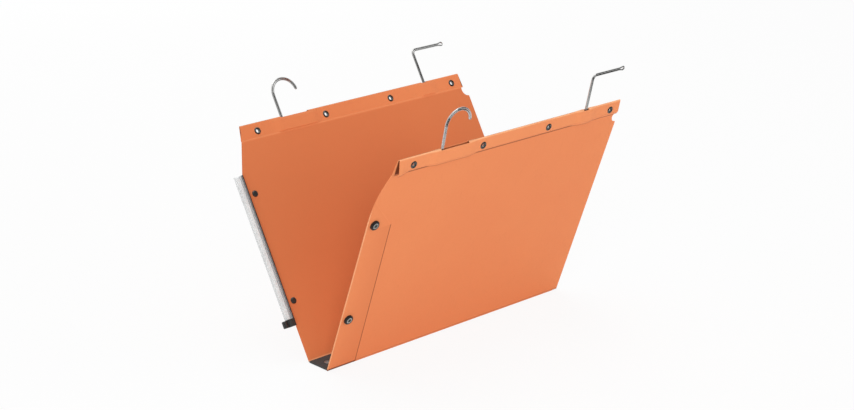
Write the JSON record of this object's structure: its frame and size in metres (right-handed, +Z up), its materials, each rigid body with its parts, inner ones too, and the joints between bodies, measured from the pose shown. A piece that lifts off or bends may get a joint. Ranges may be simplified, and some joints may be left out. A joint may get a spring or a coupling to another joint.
{
  "type": "hanging file folder",
  "caption": "Open card file with a stiffened bottom, folded hems over steel bars, doubled-wire hooks, press studs and a clear label holder, for hanging from side rails.",
  "frame": {"origin": "middle of the underside of the bottom, on the plane that it would stand on", "axes": "+X along the folder from the label end to the far end, +Y outward at the back panel (the one with the label holder), +Z up"},
  "size_m": [0.3603, 0.2838, 0.285],
  "materials": {
    "card": "matte",
    "steel_bar": "satin",
    "nickel": "polished",
    "wire": "satin",
    "black_plastic": "satin",
    "clear_plastic": "gloss",
    "label_paper": "matte"
  },
  "bodies": {
    "back_panel": {"back_panel": "card", "back_hanger_bar": "steel_bar", "back_hem_eyelets": "nickel", "back_arm_hook": "wire", "back_rivets": "black_plastic", "back_press_studs": "nickel", "label_spine": "black_plastic", "label_cover": "clear_plastic", "label_end_cap": "black_plastic"},
    "back_round_hook": {"back_round_hook": "wire"},
    "label_insert": {"label_insert": "label_paper"},
    "bottom": {"bottom_card": "card", "bottom_strip": "black_plastic", "bottom_eyelets": "nickel"},
    "front_panel": {"front_panel": "card", "front_hanger_bar": "steel_bar", "front_hem_eyelets": "nickel", "front_arm_hook": "wire", "front_rivets": "nickel", "front_press_sockets": "black_plastic"},
    "front_round_hook": {"front_round_hook": "wire"}
  },
  "joints": [
    {"name": "back_crease", "type": "hinge", "parent": "back_panel", "child": "bottom", "pos_m": [0, 0.015, 0.00025], "axis": [1, 0, 0], "range_deg": [-30, 60]},
    {"name": "front_crease", "type": "hinge", "parent": "bottom", "child": "front_panel", "pos_m": [0, -0.015, 0.00025], "axis": [1, 0, 0], "range_deg": [-20.5, 69.5]},
    {"name": "back_hook_slide", "type": "slide", "parent": "back_panel", "child": "back_round_hook", "axis": [1, 0, 0], "range_m": [0, 0.034]},
    {"name": "front_hook_slide", "type": "slide", "parent": "front_panel", "child": "front_round_hook", "axis": [1, 0, 0], "range_m": [0, 0.034]},
    {"name": "label_slide", "type": "slide", "parent": "back_panel", "child": "label_insert", "axis": [0, 0.5, 0.866], "range_m": [0, 0.15]}
  ]
}
